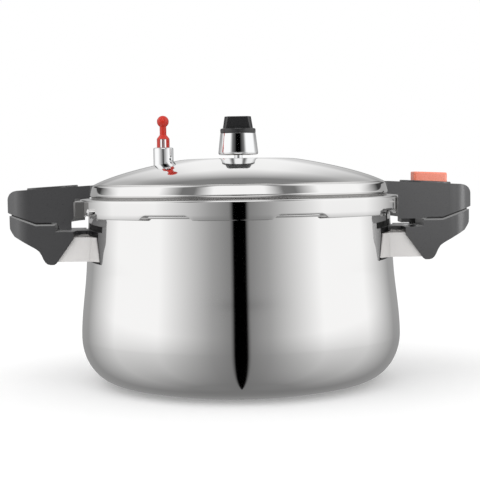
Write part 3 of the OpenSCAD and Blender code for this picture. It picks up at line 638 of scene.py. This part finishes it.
def make_lid_handle(side, name):
    """Lid handle: a bowed block on the lid's skirt, cut clear of the lid and of the pot's handle."""
    right = side > 0
    over_z = LEDGE_Z + LEDGE_FALL + 1.0
    seat_r = SKIRT_R + (BRACKET_T + 0.3 if right else 5.3)
    low_r = seat_r + (0 if right else 2.7)
    lug_out = CHANNEL_R - 1.5
    x_in, x_out = HANDLE_IN - 8, 186.5
    body = prism_z(name, handle_plan(x_in, 0), HANDLE_UNDER - 1, CUT_HIGH)
    top = [(x_in - 2, handle_top(x_in - 2)), (173.5, handle_top(173.5))]
    # The top rounds over into the end
    end = [(176.2, handle_top(176) - 0.35), (178.6, handle_top(178) - 1.2),
           (180.7, handle_top(180) - 2.6), (182.4, handle_top(182) - 4.6),
           (183.8, handle_top(HANDLE_REACH) - 7.2), (184.8, handle_top(HANDLE_REACH) - 10.4),
           (x_out, handle_top(HANDLE_REACH) - 16)]
    under = [(x_out, HANDLE_UNDER - 3), (x_in - 2, HANDLE_UNDER - 3)]
    boolean(body, "INTERSECT", prism_y("side", top + end + under))

    def along_top(p, q):
        """True for the edges round the top, but not for those beside the lid."""
        drop = min(v.z - handle_top(min(v.x, HANDLE_REACH)) for v in (p, q))
        return drop > -11.5 and p.x > x_in + 1

    bevel(body, 3.4, segments=7, where=along_top)
    ring = [(lug_out + 0.3, CUT_LOW), (RAMP_R + 60, CUT_LOW), (RAMP_R + 60, HANDLE_UNDER + 21.5),
            (RAMP_R, HANDLE_UNDER), (lug_out + 0.3, HANDLE_UNDER)]
    boolean(body, "DIFFERENCE", lathe("ring", ring))
    # A rib inside almost closes the gap over the pot's handle
    rib = block(CHANNEL_R + 2, HANDLE_REACH - 2, -14, 14, HANDLE_UNDER - 4, HANDLE_UNDER + 16)
    rib_under = [(0, CUT_LOW), (RAMP_R + 60, CUT_LOW), (RAMP_R + 60, POT_HANDLE_TOP + 22.8),
                 (RAMP_R, POT_HANDLE_TOP + 0.3), (0, POT_HANDLE_TOP + 0.3)]
    boolean(rib, "DIFFERENCE", lathe("ring", rib_under))
    boolean(body, "UNION", rib)
    if not right:
        # A lug reaches down into the ring channel, and farther in at the front
        lug_in, back_in, half = 127, 142.6, HANDLE_HALF - 1
        plan = [(lug_in, -half), (lug_in, -10), (back_in, -10), (back_in, half)] + handle_plan(lug_in, 1)[2:]
        lug = prism_z("lug", plan, CHANNEL_Z + 1.6, HANDLE_UNDER + 4)
        lug_cone = [(0, CHANNEL_Z), (lug_out - 1.8, CHANNEL_Z), (lug_out + 1.2, HANDLE_UNDER + 6),
                    (0, HANDLE_UNDER + 6)]
        boolean(lug, "INTERSECT", lathe("cone", lug_cone))
        boolean(body, "UNION", lug)
    # Room for the skirt, and above it for the bead and the dome
    seat = [(0, CUT_LOW), (low_r, CUT_LOW), (low_r, HANDLE_UNDER + 1), (seat_r, HANDLE_UNDER + 4.5),
            (seat_r, over_z), (0, over_z)]
    cone = [(0, over_z - 0.1), (HANDLE_IN + 2.6, over_z - 0.1), (HANDLE_IN + 1.0, CROWN_Z), (0, CROWN_Z)]
    boolean(body, "DIFFERENCE", lathe("seat", seat), lathe("cone", cone))
    if right:
        # Stop block beside the lock pin, and the red button's well
        boolean(body, "UNION", block(seat_r + 0.4, 136.7, -11, 11, CHANNEL_Z + 2.4, HANDLE_UNDER + 1))
        boolean(body, "DIFFERENCE", block(134.8, 170.3, -11, 11, CHANNEL_Z + 14, CUT_HIGH))
    # Bores for the screws' heads, from below
    bore_r, bore_z = 4.6, HANDLE_UNDER + 4.1
    for s in (-1, 1):
        bore = lathe("bore", [(0, 100), (bore_r, 100), (bore_r, bore_z), (0, bore_z)], 32,
                     (SCREW_X, s * SCREW_Y))
        boolean(body, "DIFFERENCE", bore)
    bevel(body, 0.55, segments=3, angle=38)
    if not right:
        mirror_x(body)
    return dress(smooth(body, 30), "lid", "black_bakelite", BAKELITE, name)


def make_bracket_cheek(side, name):
    """Steel sheet round the skirt that closes the space between the lid and its handle, in dark steel that
    paints the shade of that space.
    """
    inner, outer = SKIRT_R + 0.05, SKIRT_R + (1.35 if side > 0 else 6.3)
    low, high = SKIRT_BOTTOM + 0.6, LEDGE_Z - 0.4
    half, sweep = 39.5 if side > 0 else 46, 48
    cheek = lathe(name, [(inner, low), (outer, low), (outer, high), (inner, high)],
                  segments=48, start=-sweep / 2, sweep=sweep)
    boolean(cheek, "INTERSECT", block(SKIRT_R - 20, outer + 2, -half, half, low - 1, high + 1))
    bevel(cheek, 0.25, segments=2, angle=38)
    if side < 0:
        mirror_x(cheek)
    return dress(smooth(cheek, 30), "lid", "satin_steel", SHADE_STEEL)


def make_stud():
    """Round-headed stud in the skirt that stops the lid."""
    r, h, dome_r = 2.95, 3.4, 1.4
    place_angle, place_z = -151, SKIRT_BOTTOM + 5
    profile = [(0, -0.6), (r, -0.6), (r, h - 1.5)] + arc(r - dome_r, h - dome_r, dome_r, 0, 90, 8)
    head = lathe("stop_stud_head", profile + [(0, h + 0.15)], segments=48)
    head.data.transform(Matrix.Rotation(math.radians(place_angle), 4, "Z")
                        @ Matrix.Translation((SKIRT_R / 1000, 0, place_z / 1000))
                        @ Matrix.Rotation(math.radians(90), 4, "Y"))
    return dress(smooth(head, 30), "lid", "mirror_steel", MIRROR, "stop_stud")


def make_pot_handle(side, name):
    """Pot handle: it sheathes the strap, and its heel reaches the wall under the channel."""
    x_in, x_out, heel = 129.5, 200, 18
    tip = STRAP_Z - 2.2
    outline = [(x_in, STRAP_TOP - 1), (x_in, CHANNEL_Z + 30), (x_out, CHANNEL_Z + 30), (x_out, STRAP_Z + 18),
               (182.5, STRAP_Z + 30.5), (181.9, STRAP_Z + 26), (177, STRAP_Z + 20.2)]
    # The underside slopes in and down to a rounded foot below the strap
    outline += [(159.4, STRAP_Z + 10.4), (156.8, STRAP_Z + 8.4), (154.9, STRAP_Z + 5.4),
                (153.5, STRAP_Z + 2.2), (152.1, STRAP_Z - 0.1), (150.2, STRAP_Z - 1.7),
                (148, tip), (145, tip), (143.4, STRAP_Z - 1.2)]
    body = prism_z(name, handle_plan(x_in, 1), tip - 1, CHANNEL_Z + 30)
    boolean(body, "INTERSECT", prism_y("side", outline))
    above = [(CHANNEL_R, CHANNEL_Z + 60), (CHANNEL_R, POT_HANDLE_TOP), (RAMP_R, POT_HANDLE_TOP),
             (RAMP_R + 60, POT_HANDLE_TOP + 22.5), (RAMP_R + 60, CHANNEL_Z + 60)]
    channel = [(0, CHANNEL_Z), (CHANNEL_R + 0.01, CHANNEL_Z), (CHANNEL_R + 0.01, CHANNEL_Z + 60),
               (0, CHANNEL_Z + 60)]
    boolean(body, "DIFFERENCE", lathe("above", above), lathe("channel", channel))
    boolean(body, "UNION", block(NECK_R - 5, x_in + 1, -heel, heel, CHANNEL_Z - 3, CHANNEL_Z))
    # Room for the pot's wall and for the strap
    wall_top = 134
    wall = [(wall_radius(z) + 0.3, z) for z in (BELLY_Z, 60, 80, SHOULDER_Z, 110, wall_top)]
    pocket_half = STRAP_HALF + 0.15
    pocket = block(x_in - 12, STRAP_REACH + 0.1, -pocket_half, pocket_half, tip - 2, STRAP_TOP + 0.3)
    boolean(body, "DIFFERENCE", lathe("wall", [(0, BELLY_Z)] + wall + [(0, wall_top)]), pocket)
    if side > 0:
        half_x, half_y = CATCH_HALF
        boolean(body, "DIFFERENCE",
                block(PIN_X - half_x, PIN_X + half_x, -half_y, half_y, STRAP_TOP - 1, CHANNEL_Z + 1))
    bevel(body, 0.6, segments=3, angle=38)
    if side < 0:
        mirror_x(body)
    return dress(smooth(body, 30), "pot", "black_bakelite", BAKELITE, name)


def button_outline(grow, corner_r, steps):
    """Rounded outline of the button from above, grown all round."""
    x0, x1, half = BUTTON_X[0] - grow, BUTTON_X[1] + grow, BUTTON_HALF + grow
    return round_corners([(x0, -half), (x1, -half), (x1, half), (x0, half)], [corner_r] * 4, steps)


def pad_piece(name, button_hole):
    """Raised pad on a lid handle, with or without a hole for the button."""
    body = prism_z(name, pad_outline(), HANDLE_UNDER, CUT_HIGH)
    x0, x1 = PAD_X[0] - 6, PAD_X[1] + 6
    slab = [(x0, handle_top(x0) - 0.9), (x1, handle_top(x1) - 0.9), (x1, handle_top(x1) + PAD_H),
            (x0, handle_top(x0) + PAD_H)]
    boolean(body, "INTERSECT", prism_y("slab", slab))
    if button_hole:
        hole = button_outline(BUTTON_GAP, 1.8, 4)
        boolean(body, "DIFFERENCE", prism_z("hole", hole, HANDLE_UNDER, CUT_HIGH + 5))
    return bevel(body, 0.7, segments=4, angle=38)


def make_button():
    """Red button, whose top falls a little outward."""
    top = mm_box("red_button")[1].z
    middle_z = handle_top(sum(BUTTON_X) / 2)
    body = prism_z("button", button_outline(0, 2.2, 6), middle_z - 6, top + 1)
    x0, x1 = BUTTON_X[0] - 1.5, BUTTON_X[1] + 1.5
    slope = [(x0, top - 30), (x0, top + 0.5), (x1, top - 0.9), (x1, top - 30)]
    boolean(body, "INTERSECT", prism_y("slope", slope))
    bevel(body, 1.1, segments=5, angle=38)
    # The return spring stands in a pocket under the button
    coil_low, coil_high = mm_box("button_spring")
    pocket_r = (coil_high.x - coil_low.x) / 2 + 0.5
    pocket_z = max(coil_high.z + 5.6, middle_z - 5)
    pocket = lathe("pocket", [(0, top - 20), (pocket_r, top - 20), (pocket_r, pocket_z), (0, pocket_z)],
                   segments=48, centre=((coil_low.x + coil_high.x) / 2, 0))
    boolean(body, "DIFFERENCE", pocket)
    return dress(smooth(body, 30), "lock_button", "red_button_plastic", RED, "red_button")


# ---- valves ----
def make_weight_shell():
    """Tapered bell of the regulator weight, open below."""
    z0, z1 = (p.z for p in mm_box("weight_shell"))
    z1 += LID_RISE
    r0, r1, t, stem_r = 16.1, 14.4, 1, 2.6
    profile = ([(stem_r, z1), (r1 - 0.3, z1), (r1, z1 - 0.3), (r0, z0 + 2.0)]
               + arc(r0 - 1.6, z0 + 1.6, 1.6, 5, -90, 8)
               + [(r0 - 2.1, z0 + 0.5), (r0 - t - 0.2, z0 + 2.2), (r1 - t, z1 - t), (stem_r, z1 - t)])
    shell = lathe("weight_bell", profile, segments=128)
    return dress(smooth(shell, 30), "weight", "chromed_steel", CHROME, "weight_shell")


def make_knob():
    """Black grip on the weight: a round collar and a flat-sided finger hold."""
    z = mm_box("weight_knob")[0].z + LID_RISE
    r, grip_z, grip_half = 14.3, z + 13.4, 7.5
    edge = [(r - 0.5, z), (r - 0.1, z + 0.3), (r, z + 0.8), (r, z + 3.0), (r - 0.3, z + 3.6),
            (r - 0.9, z + 3.9)]
    collar = lathe("weight_grip", [(0, z)] + edge + [(0, z + 3.9)], segments=96)
    grip = lathe("grip", [(0, z + 3.4), (r - 2, z + 3.4), (r - 3.6, grip_z), (0, grip_z)], segments=96)
    boolean(grip, "INTERSECT", block(-20, 20, -grip_half, grip_half, z, z + 30))
    bevel(grip, 0.9, segments=4, angle=40)
    boolean(collar, "UNION", grip)
    return dress(smooth(collar, 32), "weight", "black_bakelite", KNOB, "weight_knob")


def make_float_housing():
    """Chromed cup that the float stands in, with a drain hole and a stem through the lid."""
    low, high = mm_box("float_housing")
    x = (low.x + high.x) / 2
    r = (high.x - low.x) / 2
    base_z, bore_r, bore_z = CREASE_Z + 5, 5.45, high.z - 4.3
    profile = [(0, base_z), (r, base_z), (r, high.z - 1.3), (r, high.z - 1.0), (r - 0.2, high.z - 0.6),
               (r - 0.5, high.z - 0.25), (r - 1.1, high.z), (bore_r + 0.3, high.z), (bore_r, high.z - 0.3),
               (bore_r, bore_z), (0, bore_z)]
    housing = lathe("float_housing_shell", profile, segments=96, centre=(x, 0))
    hole = lathe("hole", [(0, 4), (0.9, 4), (0.9, 14), (0, 14)], segments=24)
    hole.data.transform(Matrix.Translation((x / 1000, 0, (CROWN_Z + 1.2) / 1000))
                        @ Matrix.Rotation(math.radians(-45), 4, "Z")
                        @ Matrix.Rotation(math.radians(90), 4, "Y"))
    boolean(housing, "DIFFERENCE", hole)
    stem = [(0, low.z), (4.8, low.z), (5, low.z + 0.3), (5, base_z + 0.5), (0, base_z + 0.5)]
    housing = join("float_housing_shell", housing, lathe("stem", stem, segments=64, centre=(x, 0)))
    return dress(smooth(housing, 30), "lid", "chromed_steel", CHROME, "float_housing")


make_pot()
make_base()
make_lid()
lid_handles, pot_handles = [], []
for side, word in ((-1, "left"), (1, "right")):
    lid_handles.append(make_lid_handle(side, f"{word}_lid_handle"))
    pot_handles.append(make_pot_handle(side, f"{word}_pot_handle"))
    make_bracket_cheek(side, f"{word}_bracket_cheek")
make_stud()
inlay = smooth(mirror_x(pad_piece("inlay", False)), 30)
dress(inlay, "lid", "black_bakelite", BAKELITE, "left_handle_inlay")
bezel = smooth(pad_piece("bezel", True), 30)
dress(bezel, "lid", "black_bakelite", BAKELITE, "button_bezel")
button = make_button()
make_weight_shell()
make_knob()
make_float_housing()

for node, material in {
    "base_core": ALUMINIUM, "left_strap": STRAP, "right_strap": STRAP,
    "left_strap_screw": PLAIN, "right_strap_screw": PLAIN,
    "sealing_ring": SILICONE, "lock_catch": PLAIN,
    "left_lid_bracket": SATIN, "right_lid_bracket": SATIN,
    "left_handle_screws": PLAIN, "right_handle_screws": PLAIN,
    "lock_pin": DARK_PIN, "button_spring": PLAIN,
    "vent_pipe": CHROME, "vent_nut": PLAIN,
    "weight_core": BRASS, "weight_stud": PLAIN,
    "float_gasket": SILICONE, "float_nut": PLAIN,
    "float_head": RED_FLOAT, "float_pin": CHROME, "float_seal": SILICONE,
}.items():
    finish_node(node, material)


# ---- floor, studio and camera ----
def make_floor():
    """A white floor that takes the soft shadow. Mirrors see the studio below them in its place."""
    half = 6000
    floor = add_mesh("floor", [(-half, -half, 0), (half, -half, 0), (half, half, 0), (-half, half, 0)],
                     [(0, 1, 2, 3)])
    material, nodes, shader = new_material("floor_paint", Base_Color=(0.94, 0.94, 0.94), Roughness=0.9,
                                           Specular_IOR_Level=0.0)
    # Paint alone renders a shade under white, so the camera sees the rest of it as a glow
    shader.inputs["Emission Color"].default_value = (1, 1, 1, 1)
    glow = nodes.math("MULTIPLY", nodes.add("ShaderNodeLightPath").outputs["Is Camera Ray"], 0.12)
    nodes.link(glow, shader.inputs["Emission Strength"])
    floor.data.materials.append(material)
    floor.visible_glossy = False


def both_sides(stops):
    """Ramp stops, alike to the left and right, from (degrees from the front, grey)."""
    half = [(0, stops[0][1])] + stops + [(180, stops[-1][1])]
    left = [(0.5 - degrees / 360, grey) for degrees, grey in half[:0:-1]]
    return left + [(0.5 + degrees / 360, grey) for degrees, grey in half]


# The studio that a mirror sees round the object, in plain greys.
# Level with the lens: a black card in front, a soft box on each side and a dim back
LEVEL = both_sides([(5, 0.0), (6, 0.25), (20, 0.4), (60, 1.1), (100, 1.1), (140, 0.4)])
# The floor where it is darkest, below the object's own edge
UNDER = both_sides([(5, 0.0), (6, 0.2)])
# A little higher, for the tapered weight: a wider black card and dark gaps behind the boxes
TAPER = both_sides([(12, 0.0), (35, 0.2), (50, 1.1), (105, 1.1), (135, 0.05), (160, 0.05), (175, 0.7)])
# Higher: a box over the camera with dark gaps beside it, and a bright back wall
BOXES = both_sides([(20, 1.1), (35, 0.2), (45, 0.2), (65, 1.1), (105, 1.1), (150, 0.5), (165, 0.5),
                    (175, 1.0)])
# Higher still: the same boxes before a dim wall
HIGH = both_sides([(25, 1.1), (30, 0.25), (40, 0.25), (60, 1.0), (110, 1.0), (155, 0.25)])
# How far the floor follows the tones level with the lens, by degrees below the horizon
FLOOR_FALL = [(0, 1.0), (10, 0.6), (40, 0.35), (70, 0.05), (90, 0.0)]
# Degrees above the horizon over which each row of tones takes over from the one below
TAPER_RISE = (6.9, 7.4)
FRONT_BOX_RISE = (16.2, 18)
BACK_WALL_RISE = (12.5, 17)
HIGH_RISE = (29, 43)
CEILING_RISE = (60, 72)
CEILING = 0.6
SOFT_LIGHT = 0.95


def make_world():
    """The studio for mirrors, plain soft light for the rest and a white backdrop for the camera."""
    world = bpy.data.worlds.new("studio")
    bpy.context.scene.world = world
    world.use_nodes = True
    nodes = Nodes(world.node_tree)
    background = world.node_tree.nodes["Background"]
    axes = nodes.add("ShaderNodeSeparateXYZ")
    nodes.link(nodes.add("ShaderNodeTexCoord").outputs["Generated"], axes.inputs[0])
    x, y, z = axes.outputs
    azimuth = nodes.turn_share(x, y)
    tilt = nodes.math("ARCSINE", z)

    def rise(low, high):
        """0 to 1 between two heights above the horizon, in degrees."""
        return nodes.span(tilt, math.radians(low), math.radians(high), smooth_step=False)

    below = nodes.math("DIVIDE", tilt, -math.pi / 2, clamp=True)
    fall = nodes.ramp(below, [(degrees / 90, share) for degrees, share in FLOOR_FALL])
    seen = nodes.mix(fall, nodes.ramp(azimuth, UNDER), nodes.ramp(azimuth, LEVEL))
    # The box over the camera starts higher than the bright wall behind
    behind = nodes.span(y, -0.1, 0.1, smooth_step=False)
    boxes = nodes.mix(behind, rise(*FRONT_BOX_RISE), rise(*BACK_WALL_RISE))
    for share, tones in ((rise(*TAPER_RISE), TAPER), (boxes, BOXES), (rise(*HIGH_RISE), HIGH)):
        seen = nodes.mix(share, seen, nodes.ramp(azimuth, tones))
    seen = nodes.mix(rise(*CEILING_RISE), seen, CEILING)
    rays = nodes.add("ShaderNodeLightPath")
    light = nodes.mix(rays.outputs["Is Glossy Ray"], SOFT_LIGHT, seen)
    nodes.link(nodes.mix(rays.outputs["Is Camera Ray"], light, 1.0), background.inputs["Color"])
    background.inputs["Strength"].default_value = 1.0
    # Without light sampling, every glossy surface sees the tones above
    world.cycles.sampling_method = "NONE"


def make_lamp(name, place, aim, size, power, only=None):
    """A soft lamp. It lights all and no mirror shows it, unless only lists the objects that it lights."""
    data = bpy.data.lights.new(name, "AREA")
    data.shape = "RECTANGLE"
    data.size, data.size_y = size
    data.energy = power
    lamp = bpy.data.objects.new(name, data)
    bpy.context.scene.collection.objects.link(lamp)
    lamp.location = place
    lamp.rotation_euler = (Vector(aim) - Vector(place)).to_track_quat("-Z", "Y").to_euler()
    lamp.visible_glossy = only is not None
    lamp.visible_camera = False
    if only:
        group = bpy.data.collections.new(name)
        for piece in only:
            group.objects.link(piece)
        lamp.light_linking.receiver_collection = group


def make_camera():
    """A long lens a little above the lid's bead, tilted slightly down."""
    # In metres and degrees
    place, tilt, roll = (0.0003, -0.920, 0.1633), 3.2, -0.892
    data = bpy.data.cameras.new("camera")
    data.sensor_width = 36
    data.lens = 84.98
    data.clip_end = 50
    camera = bpy.data.objects.new("camera", data)
    bpy.context.scene.collection.objects.link(camera)
    turn = Matrix.Rotation(math.radians(90 - tilt), 4, "X") @ Matrix.Rotation(math.radians(roll), 4, "Z")
    camera.matrix_world = Matrix.Translation(place) @ turn
    bpy.context.scene.camera = camera


make_floor()
make_world()
handles, pads = lid_handles + pot_handles, [inlay, bezel, button]
make_lamp("top_light", (-0.4, -0.5, 1.4), (0, 0, 0.1), (1.2, 1.2), 3.5)
front_place, front_aim, front_size = (0.65, -1.1, 0.38), (0.155, -0.04, 0.14), (0.7, 0.6)
make_lamp("right_front", front_place, front_aim, front_size, 1.5, only=handles)
make_lamp("button_front", front_place, front_aim, front_size, 3.0, only=pads)
make_lamp("right_side", (1.2, -0.30, 0.36), (0.17, -0.03, 0.14), (0.5, 0.7), 2.4, only=handles + pads)
make_lamp("left_side", (-1.2, -0.30, 0.30), (-0.17, -0.03, 0.14), (0.5, 0.7), 0.5, only=handles)
# The polished lid shows the studio and not the plastic beside it
for piece in lid_handles + pads:
    piece.visible_glossy = False
make_camera()

bpy.context.scene.view_settings.view_transform = "Standard"
